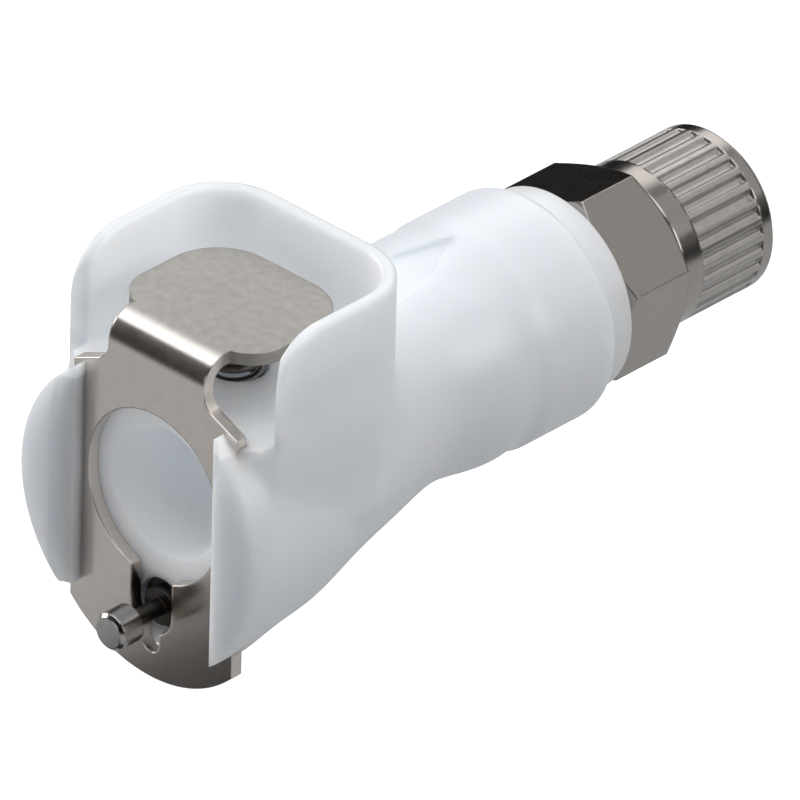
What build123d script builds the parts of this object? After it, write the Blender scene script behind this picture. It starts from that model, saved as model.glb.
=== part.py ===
"""Valved quick disconnect coupling body with a thumb latch and a ferruleless tube nut.

Millimetres. X runs to the right seen from the socket, Y back along the flow axis to the
tube nut, Z up to the thumb pad. The origin is on the flow axis, in the plane of the latch
plate's front face, with the latch pressed and held by its release pin.
"""
from build123d import *
from math import asin, atan2, cos, pi, radians, sin, tan
import os

# Latch sheet: plate, keyhole, bend and thumb pad
sheet_thickness = 1.15
plate_half_width = 9.2
plate_corner_z = -13.26
plate_bottom_z = -17.15
hole_radius = 7.35
hole_upper_z = 0.5
hole_lower_z = -0.4
notch_half_width = 2.3
notch_floor_z = -12.95
slot_half_width = 0.95
slot_end_z = -14.75
shoulder_z = 9.3
shoulder_root_z = 11.0
shoulder_round = 2.0
round_share = 0.95
neck_half_width = 5.4
bend_radius = 2.5
pad_top_z = 15.1
pad_half_width = 8.0
pad_front_y = 2.9
pad_rear_y = 15.3
pad_rear_round = 5.0
pad_front_round = 3.5
latch_stroke = 3.0
pad_rim_margin = 0.4

# Slot that the plate slides in
plate_side_gap = 0.2
plate_front_gap = 0.12
plate_back_gap = 0.15

# Cheeks in front of the plate
flange_radius = 13.42
flange_centre_z = -1.28
flange_front_y = -0.2
flange_end_y = 1.6
cheek_front_y = -2.7
cheek_dome_width = 3.0
cheek_dome_depth = 1.3
cheek_gap_half = 7.86
cheek_inner_round = 1.4
left_cheek_base_z = -11.26

# Outside of the skirt, waist and barrel
skirt_radius = 12.2
skirt_centre_z = -1.72
skirt_y = 8.8
skirt_ease = 1.25
waist_radius = 9.5
waist_y = 26.7
barrel_radius = 10.35
barrel_y = 36.5
barrel_ease = 1.6
barrel_length = 7.6
barrel_end_round = 1.0
ring_radius = 9.1
ring_length = 3.05
ring_chamfer = 0.3

# Hood round the thumb pad
hood_half_width = 11.9
hood_rear_y = 19.4
hood_rear_round = 6.3
hood_wall = 1.3
hood_front_y = 1.9
hood_flare_length = 1.7
hood_flare_width = 1.0
hood_front_round = 5.4
hood_rim_round = 0.5
hood_floor_z = 8.6
hood_base_z = -4.0
hood_base_round = 3.0
hood_root_round = 2.5

# Pointed pocket behind the hood, with a floor that falls towards the hood
relief_point_y = 34.8
relief_point_z = 9.95
relief_bend_y = 29.7
relief_bend_half = 2.28
relief_front_half = 3.2
relief_fall = radians(7.7)

# Flow passage in the housing
socket_radius = 5.55
socket_depth = 11.6
socket_lead_radius = 6.0
socket_lead_length = 3.0
throat_radius = 3.4
throat_length = 3.5
chamber_radius = 6.0
chamber_length = 17.0
adapter_bore_radius = 6.6

# Release pin and the blind hole behind the plate
pin_z = -10.86
pin_head_radius = 1.68
pin_head_front_y = -5.0
pin_head_length = 2.45
pin_head_bevel = 0.3
pin_neck_radius = 0.75
pin_shoulder_radius = 1.7
pin_catch = 0.2
pin_shoulder_length = 0.9
pin_collar_radius = 2.3
pin_collar_length = 0.9
pin_stem_radius = 0.9
pin_stem_length = 2.0
pin_hole_clearance = 0.15
pin_stroke = 2.4
pin_end_gap = 0.45

# Valve poppet and its seal
poppet_nose_radius = 1.5
poppet_nose_length = 3.2
poppet_head_radius = 5.2
poppet_head_length = 2.2
poppet_fin_count = 4
poppet_fin_thickness = 1.4
poppet_fin_length = 6.0
poppet_guide_clearance = 0.1
seal_ring_radius = 4.2
seal_wire_radius = 0.75
seal_clearance = 0.03

# Tube adapter
adapter_clearance = 0.08
adapter_seat_gap = 1.15
adapter_bore = 2.4
hex_across_flats = 15.88
hex_length = 7.45
hex_corner_angle = 16.3
hex_chamfer_angle = radians(30)
stub_radius = 5.6
stub_length = 6.8
stub_chamfer = 0.4
spigot_radius = 3.1
spigot_length = 7.7
spigot_taper = 0.6
adapter_seal_setback = 2.05
adapter_seal_wire_radius = 0.72
groove_width = 1.7

# Tube nut
nut_radius = 7.4
nut_length = 11.6
nut_thread_clearance = 0.08
nut_face_gap = 0.08
nut_thread_length = 7.0
nut_band_length = 2.6
nut_knurl_length = 7.2
nut_rear_chamfer = 0.7
nut_front_chamfer = 0.5
flute_count = 30
flute_radius = 0.55
flute_depth = 0.35
tube_bore_radius = 4.85
tube_bore_lead = 0.8

# Springs
latch_spring_y = 9.5
latch_spring_radius = 2.0
latch_spring_wire = 0.4
latch_spring_turns = 5
latch_pocket_clearance = 0.25
latch_pocket_depth = 2.0
pin_spring_radius = 1.55
pin_spring_wire = 0.2
pin_spring_turns = 4
valve_spring_radius = 4.4
valve_spring_wire = 0.45
valve_spring_turns = 5
spring_end_gap = 0.02

# How far joined shapes run into each other, and cuts past a face
lap = 1.0

# Places that follow from the sizes above
slot_front_y = -plate_front_gap
slot_half_span = plate_half_width + plate_side_gap
mouth_y = sheet_thickness + plate_back_gap
socket_end_y = mouth_y + socket_depth
seat_y = socket_end_y + throat_length
chamber_end_y = seat_y + chamber_length
seal_y = seat_y + seal_wire_radius + spring_end_gap
poppet_head_y = seal_y
poppet_fin_y = poppet_head_y + poppet_head_length
poppet_end_y = poppet_fin_y + poppet_fin_length
shank_radius = adapter_bore_radius - adapter_clearance
barrel_end_y = barrel_y + barrel_length
housing_length = barrel_end_y + ring_length
shank_front_y = chamber_end_y + adapter_seat_gap
adapter_seal_y = shank_front_y + adapter_seal_setback
hex_end_y = housing_length + hex_length
nut_front_y = hex_end_y + nut_face_gap
nut_end_y = nut_front_y + nut_length
pad_under_z = pad_top_z - sheet_thickness
pin_hole_radius = pin_collar_radius + pin_hole_clearance
pin_shoulder_y = sheet_thickness - pin_catch
pin_collar_y = pin_shoulder_y + pin_shoulder_length
pin_collar_end_y = pin_collar_y + pin_collar_length
pin_stem_end_y = pin_collar_end_y + pin_stem_length
pin_hole_end_y = pin_stem_end_y + pin_stroke + pin_end_gap
bend_z = pad_top_z - bend_radius
hood_top_z = pad_top_z + latch_stroke + pad_rim_margin

# Reach of a cut past the part
reach = nut_end_y


def across(y, z=0.0):
    """Plane square to the flow axis, facing back."""
    return Plane(origin=(0, y, z), x_dir=(1, 0, 0), z_dir=(0, 1, 0))


def rod(radius, start_y, end_y, z=0.0):
    """Cylinder along Y."""
    return extrude(across(start_y, z) * Circle(radius), end_y - start_y)


def block(low, high):
    """Box between two corners."""
    size = [b - a for a, b in zip(low, high)]
    middle = [(a + b) / 2 for a, b in zip(low, high)]
    return Pos(*middle) * Box(*size)


def turned(points):
    """Solid of revolution about Y from (radius, y) points."""
    return revolve(Plane.XY * make_face(Polyline(*points, close=True)), Axis.Y)


def coil_spring(mean_radius, wire_radius, length, turns):
    """Coil along +Z from z = 0 to z = length."""
    rise = length - 2 * wire_radius
    path = Pos(0, 0, wire_radius) * Helix(rise / turns, rise, mean_radius)
    wire = Plane(origin=path @ 0, z_dir=path % 0) * Circle(wire_radius)
    return sweep(wire, path=path, is_frenet=True)


def between(start, end, count, ease):
    """Sections (y, radius, centre z) evenly spaced from start to end, changing slower at the end."""
    sections = []
    for step in range(1, count + 1):
        share = step / (count + 1)
        eased = 1 - (1 - share) ** ease
        y = start[0] + (end[0] - start[0]) * share
        radius = start[1] + (end[1] - start[1]) * eased
        z = start[2] + (end[2] - start[2]) * eased
        sections.append((y, radius, z))
    return sections


def skirt_and_barrel():
    """Round body from the cheeks through the waist to the rear ring."""
    front = (flange_front_y, flange_radius, flange_centre_z)
    flange = (flange_end_y, flange_radius, flange_centre_z)
    skirt = (skirt_y, skirt_radius, skirt_centre_z)
    waist = (waist_y, waist_radius, 0)
    barrel_start = (barrel_y, barrel_radius, 0)
    sections = [front, flange, *between(flange, skirt, 1, skirt_ease), skirt]
    sections += [*between(skirt, waist, 2, skirt_ease), waist]
    sections += [*between(waist, barrel_start, 2, barrel_ease), barrel_start]
    flare = loft([across(y, z) * Rot(0, 0, 90) * Circle(radius) for y, radius, z in sections])
    barrel = rod(barrel_radius, barrel_y, barrel_end_y)
    barrel = fillet(barrel.edges().group_by(Axis.Y)[-1], barrel_end_round)
    ring = rod(ring_radius, barrel_end_y - barrel_end_round, housing_length)
    ring = chamfer(ring.edges().group_by(Axis.Y)[-1], ring_chamfer)
    return flare + cheek_dome() + barrel + ring


def cheek_dome():
    """Front of the round body, curving back in a quarter ellipse to its full radius."""
    flat_radius = flange_radius - cheek_dome_width
    dome_end_y = cheek_front_y + cheek_dome_depth
    quarter = make_face(
        [
            Line((0, cheek_front_y), (flat_radius, cheek_front_y)),
            EllipticalCenterArc(
                (flat_radius, dome_end_y), cheek_dome_width, cheek_dome_depth, -90, arc_size=90
            ),
            Line((flange_radius, dome_end_y), (flange_radius, flange_end_y)),
            Line((flange_radius, flange_end_y), (0, flange_end_y)),
            Line((0, flange_end_y), (0, cheek_front_y)),
        ]
    )
    return Pos(0, 0, flange_centre_z) * revolve(Plane.XY * quarter, Axis.Y)


def hood_plan(half_width, front_y, rear_y, rear_round):
    """Plan of the hood: a rectangle with round rear corners."""
    outline = Pos(0, (front_y + rear_y) / 2) * Rectangle(2 * half_width, rear_y - front_y)
    return fillet(outline.vertices().group_by(Axis.Y)[-1], rear_round)


def hood_block():
    """Outside of the hood, swept back at the top of its front edges."""
    plan = hood_plan(hood_half_width, hood_front_y, hood_rear_y, hood_rear_round)
    walls = extrude(Plane.XY.offset(hood_base_z) * plan, hood_top_z - hood_base_z)
    base = [
        edge
        for edge in walls.edges().group_by(Axis.Z)[0]
        if (edge @ 0.5).Y > hood_front_y + lap
    ]
    walls = fillet(base, hood_base_round)
    arc_y = hood_front_y + hood_front_round
    arc_z = hood_top_z - hood_front_round
    corner = block((-reach, hood_front_y - 1, arc_z), (reach, arc_y, hood_top_z + 1))
    side = Plane(origin=(-reach, arc_y, arc_z), z_dir=(1, 0, 0))
    return walls - (corner - extrude(side * Circle(hood_front_round), 2 * reach))


def hood_space():
    """Space inside the hood, open in front."""
    plan = hood_plan(
        hood_half_width - hood_wall,
        slot_front_y,
        hood_rear_y - hood_wall,
        hood_rear_round - hood_wall,
    )
    return extrude(Plane.XY.offset(hood_floor_z) * plan, reach)


def hood_flare():
    """Slanted cut on the inside of each wall's front edge."""
    half_width = hood_half_width - hood_wall
    flare_y = hood_front_y + hood_flare_length
    wide = half_width + hood_flare_width
    side = make_face(
        Polyline(
            (half_width - 1, flare_y),
            (half_width, flare_y),
            (wide, hood_front_y),
            (wide, slot_front_y),
            (half_width - 1, slot_front_y),
            close=True,
        )
    )
    return extrude(Plane.XY.offset(hood_floor_z) * (side + mirror(side, Plane.YZ)), reach)


def on_rim(edge):
    """True for an edge along the hood's top rim or down the front of its walls."""
    low, high = sorted([(edge @ 0).Z, (edge @ 1).Z])
    if high < hood_floor_z + 1:
        return False
    if low > hood_top_z - 0.01:
        return abs((edge % 0.5).Z) < 0.1
    return (edge @ 0.5).Y < hood_front_y + hood_front_round and abs((edge % 0.5).X) < 0.1


def on_hood_root(edge):
    """True for an edge where the hood's outside meets the round body."""
    middle = edge @ 0.5
    if edge.geom_type in (GeomType.LINE, GeomType.CIRCLE) or middle.Z > barrel_radius:
        return False
    from_axis = Vector(middle.X, 0, middle.Z).length
    return from_axis > ring_radius and hood_front_y + hood_rim_round < middle.Y < waist_y


def relief():
    """Shallow pocket behind the hood, pointed at the barrel, above its sloped floor."""
    right = make_face(
        Polyline(
            (0, relief_point_y),
            (relief_bend_half, relief_bend_y),
            (relief_front_half, hood_rear_y),
            (0, hood_rear_y),
            close=True,
        )
    )
    column = extrude(right + mirror(right, Plane.YZ), reach)
    floor = Plane(
        origin=(0, relief_point_y, relief_point_z),
        x_dir=(1, 0, 0),
        z_dir=(0, -sin(relief_fall), cos(relief_fall)),
    )
    return column & extrude(floor * Rectangle(2 * reach, 2 * reach), reach)


def passage():
    """Bores along the flow axis: socket, throat, valve chamber and adapter bore."""
    lead_end_y = mouth_y + socket_lead_length
    cut = rod(socket_radius, mouth_y - lap, socket_end_y)
    cut += turned(
        [
            (0, mouth_y),
            (socket_lead_radius, mouth_y),
            (socket_radius, lead_end_y),
            (0, lead_end_y),
        ]
    )
    cut += rod(throat_radius, socket_end_y - lap, seat_y + lap)
    cut += rod(chamber_radius, seat_y, chamber_end_y + lap)
    return cut + rod(adapter_bore_radius, chamber_end_y, housing_length + lap)


def housing():
    """One moulding: cheeks, plate slot, hood, skirt, waist and barrel, bored through."""
    hood = hood_block() - hood_space()
    hood = fillet([edge for edge in hood.edges() if on_rim(edge)], hood_rim_round)
    body = skirt_and_barrel() + hood
    body -= hood_space() + hood_flare() + passage()
    body = fillet([edge for edge in body.edges() if on_hood_root(edge)], hood_root_round)
    body -= relief()

    body -= extrude(Plane.XY.offset(-reach) * cheek_gap_outline(), 2 * reach)
    body -= block((-slot_half_span, slot_front_y, -reach), (slot_half_span, mouth_y, reach))
    body -= block((-reach, -reach, -reach), (0, slot_front_y, left_cheek_base_z))
    body -= rod(pin_hole_radius, mouth_y - lap, pin_hole_end_y, pin_z)
    pocket_radius = latch_spring_radius + latch_spring_wire + latch_pocket_clearance
    pocket_z = hood_floor_z - latch_pocket_depth
    pocket = Cylinder(
        pocket_radius, latch_pocket_depth + lap, align=(Align.CENTER, Align.CENTER, Align.MIN)
    )
    return body - Pos(0, latch_spring_y, pocket_z) * pocket


def cheek_gap_outline():
    """Plan of the space between the cheeks, flaring at its front edges."""
    front = cheek_front_y
    flare_y = front + cheek_inner_round
    flare_x = cheek_gap_half + cheek_inner_round
    side = [
        Line((0, slot_front_y), (cheek_gap_half, slot_front_y)),
        Line((cheek_gap_half, slot_front_y), (cheek_gap_half, flare_y)),
        RadiusArc((cheek_gap_half, flare_y), (flare_x, front), cheek_inner_round),
        Line((flare_x, front), (flare_x, front - lap)),
        Line((flare_x, front - lap), (0, front - lap)),
        Line((0, front - lap), (0, slot_front_y)),
    ]
    half = make_face(side)
    return half + mirror(half, Plane.YZ)


def latch_plate():
    """Flat front of the latch with its big hole and keyhole."""
    rise = plate_corner_z - plate_bottom_z
    arc_radius = (plate_half_width**2 + rise**2) / (2 * rise)
    arc_turn = asin(plate_half_width / arc_radius) / 2
    arc_middle = (arc_radius * sin(arc_turn), plate_bottom_z + arc_radius * (1 - cos(arc_turn)))
    half = [
        Line((0, bend_z), (0, plate_bottom_z)),
        ThreePointArc((0, plate_bottom_z), arc_middle, (plate_half_width, plate_corner_z)),
        Line((plate_half_width, plate_corner_z), (plate_half_width, shoulder_z)),
        Line((plate_half_width, shoulder_z), (neck_half_width, shoulder_root_z)),
        Line((neck_half_width, shoulder_root_z), (neck_half_width, bend_z)),
        Line((neck_half_width, bend_z), (0, bend_z)),
    ]
    right = make_face(half)
    root = right.vertices().sort_by_distance((neck_half_width, shoulder_root_z))[0]
    root_limit = round_share * (bend_z - shoulder_root_z) / tan(shoulder_lean() / 2)
    right = fillet(root, min(shoulder_round, root_limit))
    outline = right + mirror(right, Plane.YZ)
    holes = Pos(0, hole_upper_z) * Circle(hole_radius)
    holes += Pos(0, hole_lower_z) * Circle(hole_radius)
    holes += Pos(0, (hole_upper_z + hole_lower_z) / 2) * Rectangle(
        2 * hole_radius, hole_upper_z - hole_lower_z
    )
    notch_centre_z = notch_floor_z + notch_half_width
    holes += Pos(0, notch_centre_z) * Circle(notch_half_width)
    holes += Pos(0, (notch_centre_z + hole_lower_z) / 2) * Rectangle(
        2 * notch_half_width, hole_lower_z - notch_centre_z
    )
    slot_centre_z = slot_end_z + slot_half_width
    holes += Pos(0, slot_centre_z) * Circle(slot_half_width)
    holes += Pos(0, (slot_centre_z + notch_centre_z) / 2) * Rectangle(
        2 * slot_half_width, notch_centre_z - slot_centre_z
    )
    return extrude(Plane.XZ * (outline - holes), -sheet_thickness)


def shoulder_lean():
    """Angle that the plate's outline turns through from its shoulder to its neck."""
    return pi / 2 - atan2(shoulder_root_z - shoulder_z, plate_half_width - neck_half_width)


def thumb_latch():
    """Stainless sheet folded once: plate, bend and pad in one piece."""
    quarter = Plane(origin=(-neck_half_width, bend_radius, bend_z), z_dir=(1, 0, 0)) * (
        Circle(bend_radius) - Circle(bend_radius - sheet_thickness)
    )
    ring = extrude(quarter, 2 * neck_half_width)
    bend = ring & block(
        (-reach, 0, bend_z), (reach, bend_radius, pad_top_z)
    )
    pad_outline = Pos(0, (pad_front_y + pad_rear_y) / 2) * Rectangle(
        2 * pad_half_width, pad_rear_y - pad_front_y
    )
    pad_outline = fillet(pad_outline.vertices().group_by(Axis.Y)[-1], pad_rear_round)
    pad_outline = fillet(pad_outline.vertices().group_by(Axis.Y)[0], pad_front_round)
    tongue_end_y = pad_front_y + lap
    tongue = Pos(0, (bend_radius + tongue_end_y) / 2) * Rectangle(
        2 * neck_half_width, tongue_end_y - bend_radius
    )
    pad = extrude(Plane.XY.offset(pad_under_z) * (pad_outline + tongue), sheet_thickness)
    return latch_plate() + bend + pad


def release_pin():
    """Turned pin: head, thin neck, holding shoulder, collar and spring stem."""
    head_end_y = pin_head_front_y + pin_head_length
    profile = [
        (0, pin_head_front_y),
        (pin_head_radius - pin_head_bevel, pin_head_front_y),
        (pin_head_radius, pin_head_front_y + pin_head_bevel),
        (pin_head_radius, head_end_y),
        (pin_neck_radius, head_end_y),
        (pin_neck_radius, pin_shoulder_y),
        (pin_shoulder_radius, pin_shoulder_y),
        (pin_shoulder_radius, pin_collar_y),
        (pin_collar_radius, pin_collar_y),
        (pin_collar_radius, pin_collar_end_y),
        (pin_stem_radius, pin_collar_end_y),
        (pin_stem_radius, pin_stem_end_y),
        (0, pin_stem_end_y),
    ]
    return Pos(0, 0, pin_z) * turned(profile)


def valve_poppet():
    """Poppet: nose through the throat, grooved head and guide fins."""
    nose = rod(poppet_nose_radius, poppet_head_y - poppet_nose_length, poppet_head_y + lap)
    head = rod(poppet_head_radius, poppet_head_y, poppet_fin_y)
    groove = seal_ring(seal_wire_radius + seal_clearance)
    fin = block(
        (0, poppet_fin_y - lap, -poppet_fin_thickness / 2),
        (chamber_radius, poppet_end_y, poppet_fin_thickness / 2),
    )
    fins = [Rot(0, k * 360 / poppet_fin_count, 0) * fin for k in range(poppet_fin_count)]
    guide = rod(chamber_radius - poppet_guide_clearance, poppet_fin_y, poppet_end_y)
    guide += rod(poppet_nose_radius, poppet_fin_y - lap, poppet_fin_y)
    body = nose + head - groove
    for vane in fins:
        body += vane & guide
    return body


def seal_ring(wire_radius):
    """Ring of round section at the valve seat."""
    section = Plane.XY * Pos(seal_ring_radius, seal_y) * Circle(wire_radius)
    return revolve(section, Axis.Y)


def poppet_seal():
    """Ring seal in the poppet head's groove."""
    return seal_ring(seal_wire_radius)


def tube_adapter():
    """Plated adapter: sealed shank, wrench hex, threaded stub and tapered tube spigot."""
    body = rod(shank_radius, shank_front_y, housing_length)
    corner_radius = hex_across_flats / 2 / cos(pi / 6)
    hexagon = across(housing_length) * Rot(0, 0, -hex_corner_angle) * RegularPolygon(corner_radius, 6)
    hex_head = extrude(hexagon, hex_length)
    chamfer_depth = (corner_radius - hex_across_flats / 2) * tan(hex_chamfer_angle)
    face_radius = hex_across_flats / 2
    hex_head &= turned(
        [
            (0, housing_length),
            (face_radius, housing_length),
            (corner_radius, housing_length + chamfer_depth),
            (corner_radius, hex_end_y - chamfer_depth),
            (face_radius, hex_end_y),
            (0, hex_end_y),
        ]
    )
    body += hex_head
    stub_end_y = hex_end_y + stub_length
    stub = rod(stub_radius, hex_end_y - lap, stub_end_y)
    body += chamfer(stub.edges().group_by(Axis.Y)[-1], stub_chamfer)
    spigot_end_y = hex_end_y + spigot_length
    body += turned(
        [
            (0, stub_end_y - lap),
            (spigot_radius, stub_end_y - lap),
            (spigot_radius, spigot_end_y - spigot_taper),
            (spigot_radius - spigot_taper / 3, spigot_end_y),
            (0, spigot_end_y),
        ]
    )
    body -= rod(adapter_bore, shank_front_y - lap, spigot_end_y + lap)
    groove_floor = shank_radius - 2 * adapter_seal_wire_radius - seal_clearance
    low = adapter_seal_y - groove_width / 2
    high = low + groove_width
    return body - (rod(shank_radius + lap, low, high) - rod(groove_floor, low, high))


def adapter_seal():
    """Ring seal in the shank's groove."""
    middle_radius = shank_radius - adapter_seal_wire_radius
    section = Plane.XY * Pos(middle_radius, adapter_seal_y) * Circle(adapter_seal_wire_radius)
    return revolve(section, Axis.Y)


def tube_nut():
    """Knurled nut: plain front band, axial flutes and a chamfered rear rim."""
    knurl_y = nut_front_y + nut_band_length
    rim_y = knurl_y + nut_knurl_length
    flutes = PolarLocations(nut_radius - flute_depth + flute_radius, flute_count) * Circle(flute_radius)
    body = extrude(across(knurl_y) * (Circle(nut_radius) - flutes), nut_knurl_length)
    band = rod(nut_radius, nut_front_y, knurl_y)
    body += chamfer(band.edges().group_by(Axis.Y)[0], nut_front_chamfer)
    rim = rod(nut_radius, rim_y, nut_end_y)
    body += chamfer(rim.edges().group_by(Axis.Y)[-1], nut_rear_chamfer)
    thread_end_y = nut_front_y + nut_thread_length
    thread_radius = stub_radius + nut_thread_clearance
    lead_end_y = thread_end_y + tube_bore_lead
    return body - turned(
        [
            (0, nut_front_y - lap),
            (thread_radius, nut_front_y - lap),
            (thread_radius, thread_end_y),
            (tube_bore_radius, lead_end_y),
            (tube_bore_radius, nut_end_y + lap),
            (0, nut_end_y + lap),
        ]
    )


def latch_spring():
    """Coil under the thumb pad, standing in its pocket."""
    base_z = hood_floor_z - latch_pocket_depth + spring_end_gap
    coil = coil_spring(
        latch_spring_radius,
        latch_spring_wire,
        pad_under_z - spring_end_gap - base_z,
        latch_spring_turns,
    )
    return Pos(0, latch_spring_y, base_z) * coil


def pin_spring():
    """Coil behind the release pin's collar."""
    length = pin_hole_end_y - pin_collar_end_y - 2 * spring_end_gap
    coil = coil_spring(pin_spring_radius, pin_spring_wire, length, pin_spring_turns)
    return Pos(0, pin_collar_end_y + spring_end_gap, pin_z) * Rot(-90, 0, 0) * coil


def valve_spring():
    """Coil between the poppet's fins and the adapter's front face."""
    length = shank_front_y - poppet_end_y - 2 * spring_end_gap
    coil = coil_spring(valve_spring_radius, valve_spring_wire, length, valve_spring_turns)
    return Pos(0, poppet_end_y + spring_end_gap, 0) * Rot(-90, 0, 0) * coil


pieces = {
    "housing": housing,
    "thumb_latch": thumb_latch,
    "release_pin": release_pin,
    "valve_poppet": valve_poppet,
    "poppet_seal": poppet_seal,
    "tube_adapter": tube_adapter,
    "adapter_seal": adapter_seal,
    "tube_nut": tube_nut,
    "latch_spring": latch_spring,
    "pin_spring": pin_spring,
    "valve_spring": valve_spring,
}

os.makedirs("parts", exist_ok=True)
for name, make in pieces.items():
    export_step(make(), f"parts/{name}.step")
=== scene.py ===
"""Studio picture of a plastic quick disconnect coupling body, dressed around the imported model."""
import logging
from dataclasses import dataclass, field, replace
from enum import Enum
from math import cos, radians, sin

import bpy
from mathutils import Matrix, Vector


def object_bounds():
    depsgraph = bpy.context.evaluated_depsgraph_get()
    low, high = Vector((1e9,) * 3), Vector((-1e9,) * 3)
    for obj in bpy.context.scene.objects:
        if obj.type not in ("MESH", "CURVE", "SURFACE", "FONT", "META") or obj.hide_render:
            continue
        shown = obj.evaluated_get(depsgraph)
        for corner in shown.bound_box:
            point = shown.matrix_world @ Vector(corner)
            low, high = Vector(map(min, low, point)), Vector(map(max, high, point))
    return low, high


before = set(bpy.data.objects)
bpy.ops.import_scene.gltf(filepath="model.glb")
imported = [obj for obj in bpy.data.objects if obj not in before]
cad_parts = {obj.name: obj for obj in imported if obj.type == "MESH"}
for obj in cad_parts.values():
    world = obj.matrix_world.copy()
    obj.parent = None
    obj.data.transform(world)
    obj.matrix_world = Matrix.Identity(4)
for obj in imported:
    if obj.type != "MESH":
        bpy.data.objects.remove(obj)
cad_box = [list(corner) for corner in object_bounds()]

MM = 0.001
MOTTLE_DETAIL = 4.0
GRAIN_DETAIL = 3.0
NOISE_MIDDLE = 0.5
EDGE_SAMPLES = 6
Colour = tuple[float, float, float, float]
Corners = tuple[tuple[float, float], tuple[float, float]]
BLACK: Colour = (0.0, 0.0, 0.0, 1.0)
WHITE: Colour = (1.0, 1.0, 1.0, 1.0)
log = logging.getLogger("coupling")


@dataclass(frozen=True)
class Zone:
    """Pair of boxes, mirrored in the middle plane, that have a finish of their own; some zones carry
    painted light and shade instead.

    Args:
        low: The low corner of the box on the +X side, in the model's millimetres.
        high: The high corner of that box.
        soft: Width of the box's soft border.
        corner: Radius of the box's upright edges.
    """

    low: tuple[float, float, float]
    high: tuple[float, float, float]
    soft: float
    corner: float = 0.0


class GrainAxis(Enum):
    """Direction that fine scratches run in, as a stretch of the noise along X, Y and Z."""

    ROUND_Y = (1.0, 12.0, 1.0)
    NONE = (1.0, 1.0, 1.0)


class NodeSheet:
    """Small helper that adds and wires nodes in one node tree."""

    def __init__(self, tree: bpy.types.NodeTree) -> None:
        """Keeps the tree that the nodes go into."""
        self.tree = tree

    def add(self, kind: str, **settings: object) -> bpy.types.Node:
        """Adds a node.

        Args:
            kind: The node's type name in Blender.
            settings: Node properties to set.

        Returns:
            The new node.
        """
        node = self.tree.nodes.new(kind)
        for key, value in settings.items():
            setattr(node, key, value)
        return node

    def join(self, source: bpy.types.NodeSocket, target: bpy.types.NodeSocket) -> None:
        """Links an output socket to an input socket."""
        self.tree.links.new(source, target)

    def maths(
        self,
        operation: str,
        first: bpy.types.NodeSocket | float,
        second: bpy.types.NodeSocket | float,
    ) -> bpy.types.NodeSocket:
        """Adds a maths node on two values.

        Args:
            operation: The operation's name.
            first: A socket or a number.
            second: A socket or a number.

        Returns:
            The result's socket.
        """
        node = self.add("ShaderNodeMath", operation=operation)
        for slot, value in zip(node.inputs, (first, second)):
            if isinstance(value, bpy.types.NodeSocket):
                self.join(value, slot)
            else:
                slot.default_value = value
        return node.outputs[0]

    def mix(
        self,
        share: bpy.types.NodeSocket,
        first: bpy.types.NodeSocket | Colour,
        second: bpy.types.NodeSocket | Colour,
        **settings: str,
    ) -> bpy.types.NodeSocket:
        """Adds a mix of two values or colours.

        Args:
            share: The second one's share.
            first: A socket or a colour.
            second: A socket or a colour.
            settings: Node properties to set, such as the kind of data.

        Returns:
            The result's socket.
        """
        node = self.add("ShaderNodeMix", **settings)
        self.join(share, node.inputs["Factor"])
        for label, value in (("A", first), ("B", second)):
            if isinstance(value, bpy.types.NodeSocket):
                self.join(value, node.inputs[label])
            else:
                node.inputs[label].default_value = value
        return node.outputs["Result"]


def new_group(
    name: str,
    inputs: dict[str, tuple[str, object]],
    outputs: dict[str, str],
) -> tuple[NodeSheet, bpy.types.Node, bpy.types.Node]:
    """Starts a shader node group.

    Args:
        name: The group's name.
        inputs: Socket name to (socket type, default value).
        outputs: Socket name to socket type.

    Returns:
        The group's sheet, its input node and its output node.
    """
    tree = bpy.data.node_groups.new(name, "ShaderNodeTree")
    for label, (kind, value) in inputs.items():
        socket = tree.interface.new_socket(label, in_out="INPUT", socket_type=kind)
        socket.default_value = value
    for label, kind in outputs.items():
        tree.interface.new_socket(label, in_out="OUTPUT", socket_type=kind)
    sheet = NodeSheet(tree)
    return sheet, sheet.add("NodeGroupInput"), sheet.add("NodeGroupOutput")


def build_mottle_group() -> bpy.types.NodeTree:
    """Soft clouding of a colour and a roughness, as moulded or rolled stock shows.

    Returns:
        The node group, with Colour and Roughness outputs.
    """
    sheet, given, out = new_group(
        "mottle",
        {
            "Light": ("NodeSocketColor", (0.8, 0.8, 0.8, 1.0)),
            "Dark": ("NodeSocketColor", (0.7, 0.7, 0.7, 1.0)),
            "Scale": ("NodeSocketFloat", 400.0),
            "Roughness": ("NodeSocketFloat", 0.3),
            "Spread": ("NodeSocketFloat", 0.05),
        },
        {"Colour": "NodeSocketColor", "Roughness": "NodeSocketFloat"},
    )
    place = sheet.add("ShaderNodeTexCoord")
    noise = sheet.add("ShaderNodeTexNoise")
    noise.inputs["Detail"].default_value = MOTTLE_DETAIL
    sheet.join(place.outputs["Object"], noise.inputs["Vector"])
    sheet.join(given.outputs["Scale"], noise.inputs["Scale"])
    cloud = noise.outputs["Fac"]
    shade = sheet.mix(cloud, given.outputs["Light"], given.outputs["Dark"], data_type="RGBA")
    sheet.join(shade, out.inputs["Colour"])
    centred = sheet.maths("SUBTRACT", cloud, NOISE_MIDDLE)
    change = sheet.maths("MULTIPLY", centred, given.outputs["Spread"])
    sheet.join(sheet.maths("ADD", change, given.outputs["Roughness"]), out.inputs["Roughness"])
    return sheet.tree


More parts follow.
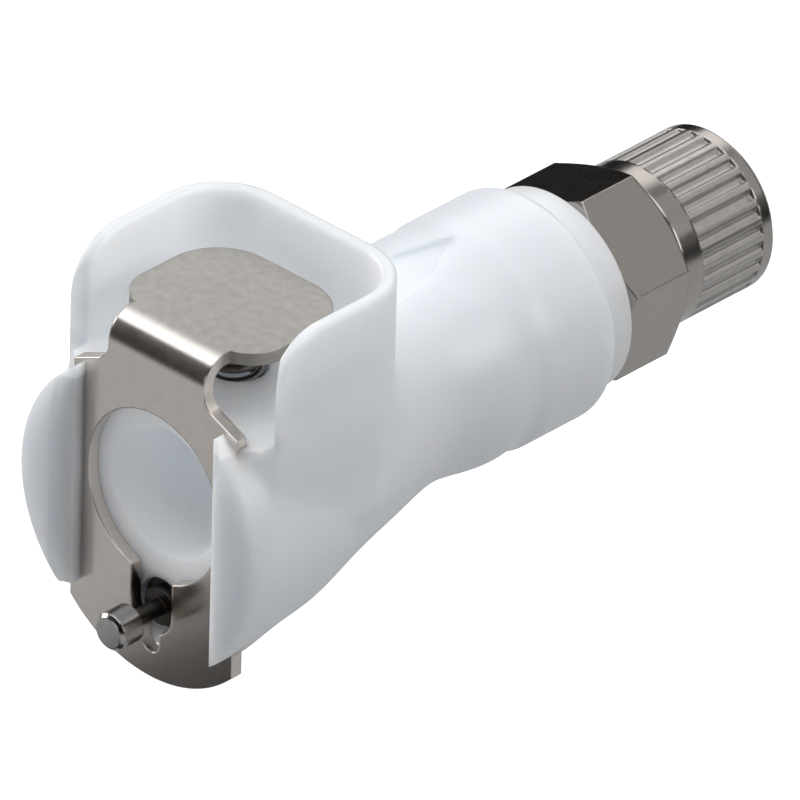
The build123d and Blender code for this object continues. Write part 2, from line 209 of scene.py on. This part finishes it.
def build_grain_group() -> bpy.types.NodeTree:
    """Fine scratches or stipple as a height, stretched along a direction.

    Returns:
        The node group, with a Height output.
    """
    sheet, given, out = new_group(
        "grain",
        {
            "Stretch": ("NodeSocketVector", (1.0, 1.0, 1.0)),
            "Scale": ("NodeSocketFloat", 4000.0),
        },
        {"Height": "NodeSocketFloat"},
    )
    place = sheet.add("ShaderNodeTexCoord")
    stretch = sheet.add("ShaderNodeVectorMath", operation="MULTIPLY")
    sheet.join(place.outputs["Object"], stretch.inputs[0])
    sheet.join(given.outputs["Stretch"], stretch.inputs[1])
    noise = sheet.add("ShaderNodeTexNoise")
    noise.inputs["Detail"].default_value = GRAIN_DETAIL
    sheet.join(stretch.outputs["Vector"], noise.inputs["Vector"])
    sheet.join(given.outputs["Scale"], noise.inputs["Scale"])
    sheet.join(noise.outputs["Fac"], out.inputs["Height"])
    return sheet.tree


def build_zone_group() -> bpy.types.NodeTree:
    """Mask that is 1 inside a mirrored pair of boxes and fades to 0 over their soft border.

    Returns:
        The node group, with a Mask output.
    """
    sheet, given, out = new_group(
        "zone",
        {
            "Low": ("NodeSocketVector", (0.0, 0.0, 0.0)),
            "High": ("NodeSocketVector", (0.0, 0.0, 0.0)),
            "Soft": ("NodeSocketFloat", 0.001),
            "Corner": ("NodeSocketFloat", 0.0),
        },
        {"Mask": "NodeSocketFloat"},
    )
    corner = given.outputs["Corner"]
    spot = sheet.add("ShaderNodeSeparateXYZ")
    sheet.join(sheet.add("ShaderNodeTexCoord").outputs["Object"], spot.inputs["Vector"])
    folded = sheet.add("ShaderNodeCombineXYZ")
    sheet.join(sheet.maths("ABSOLUTE", spot.outputs["X"], 0.0), folded.inputs["X"])
    for axis in ("Y", "Z"):
        sheet.join(spot.outputs[axis], folded.inputs[axis])
    place = folded.outputs["Vector"]
    margins = []
    for first, second in ((place, given.outputs["Low"]), (given.outputs["High"], place)):
        margin = sheet.add("ShaderNodeVectorMath", operation="SUBTRACT")
        sheet.join(first, margin.inputs[0])
        sheet.join(second, margin.inputs[1])
        parts = sheet.add("ShaderNodeSeparateXYZ")
        sheet.join(margin.outputs["Vector"], parts.inputs["Vector"])
        margins.append(list(parts.outputs))
    near_x, near_y, near_z = (sheet.maths("MINIMUM", one, other) for one, other in zip(*margins))
    past = sheet.add("ShaderNodeCombineXYZ")
    for axis, near in (("X", near_x), ("Y", near_y)):
        short = sheet.maths("SUBTRACT", corner, near)
        sheet.join(sheet.maths("MAXIMUM", short, 0.0), past.inputs[axis])
    reach = sheet.add("ShaderNodeVectorMath", operation="LENGTH")
    sheet.join(past.outputs["Vector"], reach.inputs[0])
    deeper = sheet.maths("SUBTRACT", sheet.maths("MINIMUM", near_x, near_y), corner)
    level = sheet.maths("SUBTRACT", corner, reach.outputs["Value"])
    level = sheet.maths("ADD", level, sheet.maths("MAXIMUM", deeper, 0.0))
    inside = sheet.maths("MINIMUM", level, near_z)
    ramp = sheet.add("ShaderNodeMapRange", interpolation_type="SMOOTHSTEP")
    sheet.join(inside, ramp.inputs["Value"])
    sheet.join(given.outputs["Soft"], ramp.inputs["From Max"])
    sheet.join(ramp.outputs["Result"], out.inputs["Mask"])
    return sheet.tree


@dataclass(frozen=True)
class Finish:
    """One surface finish: its colours, gloss, fine relief and what lies under the surface.

    Args:
        name: The material's name.
        light: The colour's lighter cloud.
        dark: The colour's darker cloud.
        metallic: 1 for bare or plated metal.
        roughness: Middle roughness.
        spread: How far the roughness wanders.
        mottle_scale: Fineness of the clouding, per metre.
        grain_scale: Fineness of the relief, per metre.
        grain_depth: Height of the relief, in metres.
        grain: Direction of the relief.
        glow: Share of light that scatters below the surface.
        glow_depth: How deep that light goes, in metres.
        glow_tint: How deep each of its colours goes, as a share of that depth.
        edge: Radius that sharp edges are softened to, in metres.
        patch_zones: Parts of the piece that differ from the rest; on some finishes the difference is
            a real finish, on others painted glow or painted shade.
        patch_light: Those parts' lighter cloud.
        patch_dark: Those parts' darker cloud.
        patch_roughness: Those parts' roughness.
        patch_scale: Fineness of those parts' clouding, per metre.
        patch_lift: Painted glow on those parts, standing in for light that comes through the wall.
        blend_zones: Parts of the piece whose edges are softened more.
        blend_edge: Radius that the edges there are softened to, in metres.
    """

    name: str
    light: Colour
    dark: Colour
    metallic: float = 0.0
    roughness: float = 0.3
    spread: float = 0.06
    mottle_scale: float = 300.0
    grain_scale: float = 4000.0
    grain_depth: float = 2e-6
    grain: GrainAxis = GrainAxis.NONE
    glow: float = 0.0
    glow_depth: float = 0.0
    glow_tint: tuple[float, float, float] = (0.9, 1.0, 1.1)
    edge: float = 1.5e-4
    patch_zones: tuple[Zone, ...] = ()
    patch_light: Colour = (0.8, 0.8, 0.8, 1.0)
    patch_dark: Colour = (0.7, 0.7, 0.7, 1.0)
    patch_roughness: float = 0.6
    patch_scale: float = 1200.0
    patch_lift: Colour = BLACK
    blend_zones: tuple[Zone, ...] = ()
    blend_edge: float = 1e-3

    def material(self) -> bpy.types.Material:
        """Builds the finish as a material, once.

        Returns:
            The material.
        """
        found = bpy.data.materials.get(self.name)
        if found:
            return found
        made = bpy.data.materials.new(self.name)
        made.use_nodes = True
        sheet = NodeSheet(made.node_tree)
        shader = made.node_tree.nodes["Principled BSDF"]
        colour, roughness = self.clouds(
            sheet, self.light, self.dark, self.roughness, self.mottle_scale
        )
        if self.patch_zones:
            mask = self.zone_mask(sheet, self.patch_zones)
            patch_colour, patch_gloss = self.clouds(
                sheet, self.patch_light, self.patch_dark, self.patch_roughness, self.patch_scale
            )
            colour = sheet.mix(mask, colour, patch_colour, data_type="RGBA")
            roughness = sheet.mix(mask, roughness, patch_gloss)
            # Emission inside the patch zones: a painted glow, not a lamp.
            lift = sheet.mix(mask, BLACK, self.patch_lift, data_type="RGBA")
            sheet.join(lift, shader.inputs["Emission Color"])
            shader.inputs["Emission Strength"].default_value = 1.0
        sheet.join(colour, shader.inputs["Base Color"])
        sheet.join(roughness, shader.inputs["Roughness"])
        sheet.join(self.relief(sheet), shader.inputs["Normal"])
        shader.inputs["Metallic"].default_value = self.metallic
        shader.inputs["Subsurface Weight"].default_value = self.glow
        shader.inputs["Subsurface Scale"].default_value = self.glow_depth
        shader.inputs["Subsurface Radius"].default_value = self.glow_tint
        return made

    def relief(self, sheet: NodeSheet) -> bpy.types.NodeSocket:
        """Adds the softened edges, with the fine grain on top.

        Args:
            sheet: The material's sheet.

        Returns:
            The normal's socket.
        """
        soft = sheet.add("ShaderNodeBevel", samples=EDGE_SAMPLES)
        soft.inputs["Radius"].default_value = self.edge
        if self.blend_zones:
            share = self.zone_mask(sheet, self.blend_zones)
            more = sheet.maths("MULTIPLY", share, self.blend_edge - self.edge)
            sheet.join(sheet.maths("ADD", more, self.edge), soft.inputs["Radius"])
        grain = sheet.add("ShaderNodeGroup", node_tree=bpy.data.node_groups["grain"])
        grain.inputs["Stretch"].default_value = self.grain.value
        grain.inputs["Scale"].default_value = self.grain_scale
        bump = sheet.add("ShaderNodeBump")
        bump.inputs["Distance"].default_value = self.grain_depth
        sheet.join(soft.outputs["Normal"], bump.inputs["Normal"])
        sheet.join(grain.outputs["Height"], bump.inputs["Height"])
        return bump.outputs["Normal"]

    def clouds(
        self, sheet: NodeSheet, light: Colour, dark: Colour, roughness: float, scale: float
    ) -> tuple[bpy.types.NodeSocket, bpy.types.NodeSocket]:
        """Adds a clouded colour and roughness.

        Args:
            sheet: The material's sheet.
            light: The lighter cloud.
            dark: The darker cloud.
            roughness: The middle roughness.
            scale: Fineness of the clouding, per metre.

        Returns:
            The colour's socket and the roughness's socket.
        """
        mottle = sheet.add("ShaderNodeGroup", node_tree=bpy.data.node_groups["mottle"])
        mottle.inputs["Light"].default_value = light
        mottle.inputs["Dark"].default_value = dark
        mottle.inputs["Scale"].default_value = scale
        mottle.inputs["Roughness"].default_value = roughness
        mottle.inputs["Spread"].default_value = self.spread
        return mottle.outputs["Colour"], mottle.outputs["Roughness"]

    def zone_mask(self, sheet: NodeSheet, zones: tuple[Zone, ...]) -> bpy.types.NodeSocket:
        """Adds the mask of all that lies in any of some zones.

        Args:
            sheet: The material's sheet.
            zones: The zones.

        Returns:
            The mask's socket.
        """
        mask = None
        for zone in zones:
            node = sheet.add("ShaderNodeGroup", node_tree=bpy.data.node_groups["zone"])
            node.inputs["Low"].default_value = [value * MM for value in zone.low]
            node.inputs["High"].default_value = [value * MM for value in zone.high]
            node.inputs["Soft"].default_value = zone.soft * MM
            node.inputs["Corner"].default_value = zone.corner * MM
            found = node.outputs["Mask"]
            mask = found if mask is None else sheet.maths("MAXIMUM", mask, found)
        return mask


ACETAL = Finish(
    name="milky_acetal",
    light=(0.805, 0.82, 0.845, 1.0),
    dark=(0.775, 0.79, 0.815, 1.0),
    roughness=0.32,
    mottle_scale=120.0,
    grain_depth=1e-6,
    glow=1.0,
    glow_depth=0.004,
    edge=3e-4,
    # Patch zones: the bore, the mouth and the inside of the hood are painted lighter and given a
    # faint emission, a painted glow standing in for light through the milky wall.
    patch_zones=(
        Zone((-7.2, 0.0, -7.2), (7.2, 13.5, 7.2), 1.4),
        Zone((-8.9, -0.1, -8.9), (8.9, 2.9, 12.0), 1.4),
        Zone((-11.0, -4.0, 8.2), (11.0, 18.5, 30.0), 0.4, corner=5.4),
    ),
    patch_light=(0.96, 0.97, 0.985, 1.0),
    patch_dark=(0.945, 0.955, 0.97, 1.0),
    patch_roughness=0.32,
    patch_scale=120.0,
    patch_lift=(0.075, 0.08, 0.085, 1.0),
    blend_zones=(
        Zone((8.6, -2.6, -15.0), (15.0, 9.0, 10.5), 1.2),
        Zone((-15.0, 33.0, -15.0), (15.0, 40.5, 15.0), 2.0),
    ),
    blend_edge=2.0e-3,
)
PLATE_STEEL = Finish(
    name="rolled_stainless",
    light=(0.76, 0.695, 0.635, 1.0),
    dark=(0.66, 0.60, 0.55, 1.0),
    metallic=1.0,
    roughness=0.24,
    spread=0.08,
    mottle_scale=900.0,
    grain_scale=9000.0,
    grain_depth=1.5e-6,
    edge=2.5e-4,
    patch_zones=(Zone((-10.0, 1.2, 13.0), (10.0, 18.0, 17.0), 1.2),),
    patch_light=(0.46, 0.433, 0.40, 1.0),
    patch_dark=(0.34, 0.32, 0.295, 1.0),
    patch_roughness=0.62,
)
TURNED_STEEL = Finish(
    name="turned_stainless",
    light=(0.54, 0.515, 0.485, 1.0),
    dark=(0.42, 0.40, 0.375, 1.0),
    metallic=1.0,
    roughness=0.2,
    mottle_scale=1500.0,
    grain_scale=1500.0,
    grain_depth=1e-6,
    grain=GrainAxis.ROUND_Y,
    # Patch zone: the pin's neck and the recess behind the latch plate are painted near-black,
    # painted shade in that recess.
    patch_zones=(Zone((-4.0, -2.6, -14.5), (4.0, 3.5, -7.0), 1.0),),
    patch_light=(0.10, 0.09, 0.08, 1.0),
    patch_dark=(0.05, 0.045, 0.04, 1.0),
    patch_roughness=0.35,
)
# Springs painted near-black: painted shade for the dark space under the latch pad, not the wire's
# own colour.
WIRE_STEEL_PAINTED_SHADE = Finish(
    name="drawn_wire_painted_shade",
    light=(0.2, 0.19, 0.175, 1.0),
    dark=(0.12, 0.112, 0.105, 1.0),
    metallic=1.0,
    roughness=0.28,
)
NICKEL = Finish(
    name="bright_nickel",
    light=(0.48, 0.445, 0.41, 1.0),
    dark=(0.41, 0.38, 0.35, 1.0),
    metallic=1.0,
    roughness=0.2,
    mottle_scale=500.0,
    grain_scale=5000.0,
    grain_depth=1e-6,
    edge=3e-4,
)
KNURLED_NICKEL = replace(
    NICKEL,
    name="knurled_nickel",
    patch_zones=(Zone((-9.0, 57.2, -9.0), (9.0, 64.7, 9.0), 0.3),),
    patch_light=(0.58, 0.555, 0.525, 1.0),
    patch_dark=(0.40, 0.38, 0.36, 1.0),
    patch_roughness=0.3,
)
VALVE_PLASTIC = Finish(
    name="valve_plastic",
    light=(0.82, 0.84, 0.86, 1.0),
    dark=(0.78, 0.8, 0.82, 1.0),
    roughness=0.4,
    glow=0.3,
    glow_depth=0.001,
)
SEAL_RUBBER = Finish(
    name="seal_rubber",
    light=(0.025, 0.025, 0.025, 1.0),
    dark=(0.012, 0.012, 0.012, 1.0),
    roughness=0.55,
    grain_depth=4e-6,
)
FLOOR_PAINT = Finish(
    name="floor_paint",
    light=(0.9, 0.9, 0.9, 1.0),
    dark=(0.89, 0.89, 0.89, 1.0),
    roughness=0.9,
    mottle_scale=3.0,
)
FLAG_CLOTH = Finish(
    name="flag_cloth",
    light=(0.012, 0.012, 0.012, 1.0),
    dark=(0.008, 0.008, 0.008, 1.0),
    roughness=0.9,
)


def dress(node: str, finish: Finish) -> None:
    """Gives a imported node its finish.

    Args:
        node: The node's name.
        finish: The finish that covers all of it.
    """
    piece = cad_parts[node]
    made = finish.material()
    if not piece.material_slots:
        piece.data.materials.append(made)
    for holder in piece.material_slots:
        holder.material = made
    log.info("%s dressed in %s", node, finish.name)


@dataclass
class Housing:
    """The moulding: cheeks, hood, skirt and barrel."""

    finish: Finish = ACETAL

    def build(self) -> None:
        """Dresses the moulding."""
        dress("housing", self.finish)


@dataclass
class Latch:
    """The folded latch, its release pin and their springs."""

    sheet: Finish = PLATE_STEEL
    pin: Finish = TURNED_STEEL
    wire: Finish = WIRE_STEEL_PAINTED_SHADE

    def build(self) -> None:
        """Dresses the latch's pieces."""
        dress("thumb_latch", self.sheet)
        dress("release_pin", self.pin)
        dress("latch_spring", self.wire)
        dress("pin_spring", self.wire)


@dataclass
class Valve:
    """The shut-off valve: poppet, seal and spring."""

    poppet: Finish = VALVE_PLASTIC
    seal: Finish = SEAL_RUBBER
    wire: Finish = WIRE_STEEL_PAINTED_SHADE

    def build(self) -> None:
        """Dresses the valve's pieces."""
        dress("valve_poppet", self.poppet)
        dress("poppet_seal", self.seal)
        dress("valve_spring", self.wire)


@dataclass
class TubeEnd:
    """The tube adapter with its seal, and the nut that grips the tube."""

    plating: Finish = NICKEL
    knurl: Finish = KNURLED_NICKEL
    seal: Finish = SEAL_RUBBER

    def build(self) -> None:
        """Dresses the tube end's pieces."""
        dress("tube_adapter", self.plating)
        dress("tube_nut", self.knurl)
        dress("adapter_seal", self.seal)


@dataclass(frozen=True)
class SoftBox:
    """One soft lamp over the table.

    Args:
        name: The lamp's name.
        azimuth: Bearing from the coupling, in degrees, 0 in front of the socket and 90 to its right.
        elevation: Height above the table, in degrees.
        distance: Distance from the coupling, in metres.
        width: The lamp's width, in metres.
        height: The lamp's height, in metres.
        radiance: Brightness of its face.
        tint: Colour of its light.
    """

    name: str
    azimuth: float
    elevation: float
    distance: float
    width: float
    height: float
    radiance: float
    tint: tuple[float, float, float] = (1.0, 1.0, 1.0)

    def place(self, target: Vector) -> None:
        """Hangs the lamp and turns it to a point.

        Args:
            target: The point that it faces.
        """
        bearing = radians(self.azimuth)
        rise = radians(self.elevation)
        outward = Vector(
            (sin(bearing) * cos(rise), -cos(bearing) * cos(rise), sin(rise))
        )
        lamp = bpy.data.lights.new(self.name, "AREA")
        lamp.shape = "RECTANGLE"
        lamp.size = self.width
        lamp.size_y = self.height
        lamp.energy = self.radiance * self.width * self.height
        lamp.color = self.tint
        holder = bpy.data.objects.new(self.name, lamp)
        holder.location = target + outward * self.distance
        holder.rotation_mode = "QUATERNION"
        holder.rotation_quaternion = outward.to_track_quat("Z", "Y")
        bpy.context.scene.collection.objects.link(holder)


@dataclass
class Studio:
    """Pale table, soft lamps, a dim room, and dark flags that only reflections show.

    Args:
        floor_shade: Share of its paint that the table throws back at the coupling.
        floor_lift: Light that the camera sees the table add.
        floor_z: The table's height.
        floor_half: Half the table's side.
        flags: Low and high corner of each flag that lies on the table.
        flag_rise: How far the flags lie above the table.
        room_grey: Brightness of the room.
        backdrop_grey: Brightness of the room where the camera sees it.
        lamps: The lamps.
    """

    floor_shade: float = 0.5
    floor_lift: float = 0.3
    floor_z: float = -40.0 * MM
    floor_half: float = 0.25
    flags: tuple[Corners, ...] = (
        ((-29.5 * MM, -60.0 * MM), (15.0 * MM, -6.0 * MM)),
        ((-250.0 * MM, -250.0 * MM), (-75.0 * MM, -105.0 * MM)),
    )
    flag_rise: float = 0.5 * MM
    room_grey: float = 0.001
    backdrop_grey: float = 1.0
    lamps: list[SoftBox] = field(
        default_factory=lambda: [
            SoftBox("lamp_top", -90.0, 84.0, 0.9, 1.1, 1.5, 6.3, (0.96, 1.0, 1.04)),
            SoftBox("lamp_front", -6.0, 8.0, 1.0, 0.5, 0.4, 5.6, (1.01, 1.0, 1.01)),
            SoftBox("lamp_left", -72.0, 16.0, 1.0, 0.5, 0.4, 19.0, (1.01, 1.0, 1.01)),
            SoftBox("lamp_right", 108.0, 24.0, 1.0, 0.5, 0.5, 11.5),
            SoftBox("lamp_back", 141.0, 37.0, 1.2, 1.2, 0.8, 1.5),
            SoftBox("lamp_rear", -150.0, 38.0, 1.0, 1.0, 0.4, 4.6),
        ]
    )

    def floor_material(self) -> bpy.types.Material:
        """Paints the table pale, and dims what it throws back at the coupling.

        Returns:
            The table's material.
        """
        made = FLOOR_PAINT.material()
        sheet = NodeSheet(made.node_tree)
        shader = made.node_tree.nodes["Principled BSDF"]
        paint = shader.inputs["Base Color"].links[0].from_socket
        seen = sheet.add("ShaderNodeLightPath").outputs["Is Camera Ray"]
        shader.inputs["Emission Color"].default_value = WHITE
        lift = sheet.maths("MULTIPLY", seen, self.floor_lift)
        sheet.join(lift, shader.inputs["Emission Strength"])
        unseen = sheet.maths("SUBTRACT", 1.0, seen)
        dim = (self.floor_shade,) * 3 + (1.0,)
        shade = sheet.mix(unseen, paint, dim, data_type="RGBA", blend_type="MULTIPLY")
        sheet.join(shade, shader.inputs["Base Color"])
        return made

    def sheet(
        self,
        name: str,
        low: tuple[float, float],
        high: tuple[float, float],
        rise: float,
        material: bpy.types.Material,
    ) -> bpy.types.Object:
        """Lays a flat sheet that is part of the studio.

        Args:
            name: The sheet's name.
            low: Its low corner.
            high: Its high corner.
            rise: Its height.
            material: Its material.

        Returns:
            The sheet's object.
        """
        corners = [(low[0], low[1]), (high[0], low[1]), (high[0], high[1]), (low[0], high[1])]
        mesh = bpy.data.meshes.new(name)
        mesh.from_pydata([(x, y, rise) for x, y in corners], [], [(0, 1, 2, 3)])
        mesh.materials.append(material)
        laid = bpy.data.objects.new(name, mesh)
        bpy.context.scene.collection.objects.link(laid)
        return laid

    def build(self, target: Vector) -> None:
        """Sets the table, the flags, the lamps and the room's light.

        Args:
            target: The point that the lamps face.
        """
        side = self.floor_half
        self.sheet("floor", (-side, -side), (side, side), self.floor_z, self.floor_material())
        cloth = FLAG_CLOTH.material()
        for number, (low, high) in enumerate(self.flags, start=1):
            flag = self.sheet(f"flag_{number}", low, high, self.floor_z + self.flag_rise, cloth)
            flag.visible_camera = False
            flag.visible_diffuse = False
            flag.visible_shadow = False
        for lamp in self.lamps:
            lamp.place(target)
        world = bpy.data.worlds.new("room")
        world.use_nodes = True
        sheet = NodeSheet(world.node_tree)
        seen = sheet.add("ShaderNodeLightPath").outputs["Is Camera Ray"]
        extra = sheet.maths("MULTIPLY", seen, self.backdrop_grey - self.room_grey)
        room = world.node_tree.nodes["Background"]
        room.inputs["Color"].default_value = WHITE
        sheet.join(sheet.maths("ADD", extra, self.room_grey), room.inputs["Strength"])
        bpy.context.scene.world = world
        bpy.context.scene.view_settings.view_transform = "Standard"
        log.info("studio with %d lamps and %d flags", len(self.lamps), len(self.flags))


@dataclass(frozen=True)
class PhotoCamera:
    """The photograph's viewpoint, as a long lens from in front, right and above.

    Args:
        azimuth: Bearing of the camera, in degrees, 0 in front of the socket.
        elevation: Height of the camera above the horizon, in degrees.
        roll: Clockwise turn of the picture, in degrees.
        pixels_per_mm: Scale of the picture.
        origin_pixel: Where the model's origin shows in the picture.
        picture_side: The picture's side, in pixels.
        lens: Focal length, in millimetres.
        sensor: Sensor width, in millimetres.
        clip_ratio: How many times nearer and further than its distance the camera sees.
    """

    azimuth: float = 43.2
    elevation: float = 31.6
    roll: float = 1.5
    pixels_per_mm: float = 12.2
    origin_pixel: tuple[float, float] = (155.5, 496.6)
    picture_side: float = 800.0
    lens: float = 1200.0
    sensor: float = 36.0
    clip_ratio: float = 10.0

    def place(self, middle: Vector) -> None:
        """Sets the camera so that the origin shows at its pixel.

        Args:
            middle: The coupling's middle, which fixes the depth of the picture's scale.
        """
        bearing = radians(self.azimuth)
        rise = radians(self.elevation)
        lean = radians(self.roll)
        forward = Vector((-sin(bearing) * cos(rise), cos(bearing) * cos(rise), -sin(rise)))
        level = Vector((cos(bearing), sin(bearing), 0.0))
        plumb = forward.cross(level)
        right = level * cos(lean) - plumb * sin(lean)
        down = level * sin(lean) + plumb * cos(lean)
        scale = MM / self.pixels_per_mm
        across = (self.picture_side / 2 - self.origin_pixel[0]) * scale
        below = (self.picture_side / 2 - self.origin_pixel[1]) * scale
        target = right * across + down * below + forward * forward.dot(middle)
        distance = self.lens / self.sensor * self.picture_side * scale
        camera = bpy.data.cameras.new("camera")
        camera.lens = self.lens
        camera.sensor_width = self.sensor
        camera.clip_start = distance / self.clip_ratio
        camera.clip_end = distance * self.clip_ratio
        holder = bpy.data.objects.new("camera", camera)
        holder.matrix_world = Matrix.Translation(target - forward * distance) @ Matrix(
            (right, -down, -forward)
        ).transposed().to_4x4()
        bpy.context.scene.collection.objects.link(holder)
        bpy.context.scene.camera = holder
        log.info("camera %.2f m away", distance)


def main() -> None:
    """Builds the shared effects, then every sub-assembly, the studio and the camera."""
    logging.basicConfig(level=logging.INFO, format="%(name)s: %(message)s")
    build_mottle_group()
    build_grain_group()
    build_zone_group()
    low, high = (Vector(corner) for corner in cad_box)
    middle = (low + high) / 2
    for part in (Housing(), Latch(), Valve(), TubeEnd()):
        part.build()
    Studio().build(middle)
    PhotoCamera().place(middle)


if __name__ == "__main__":
    main()
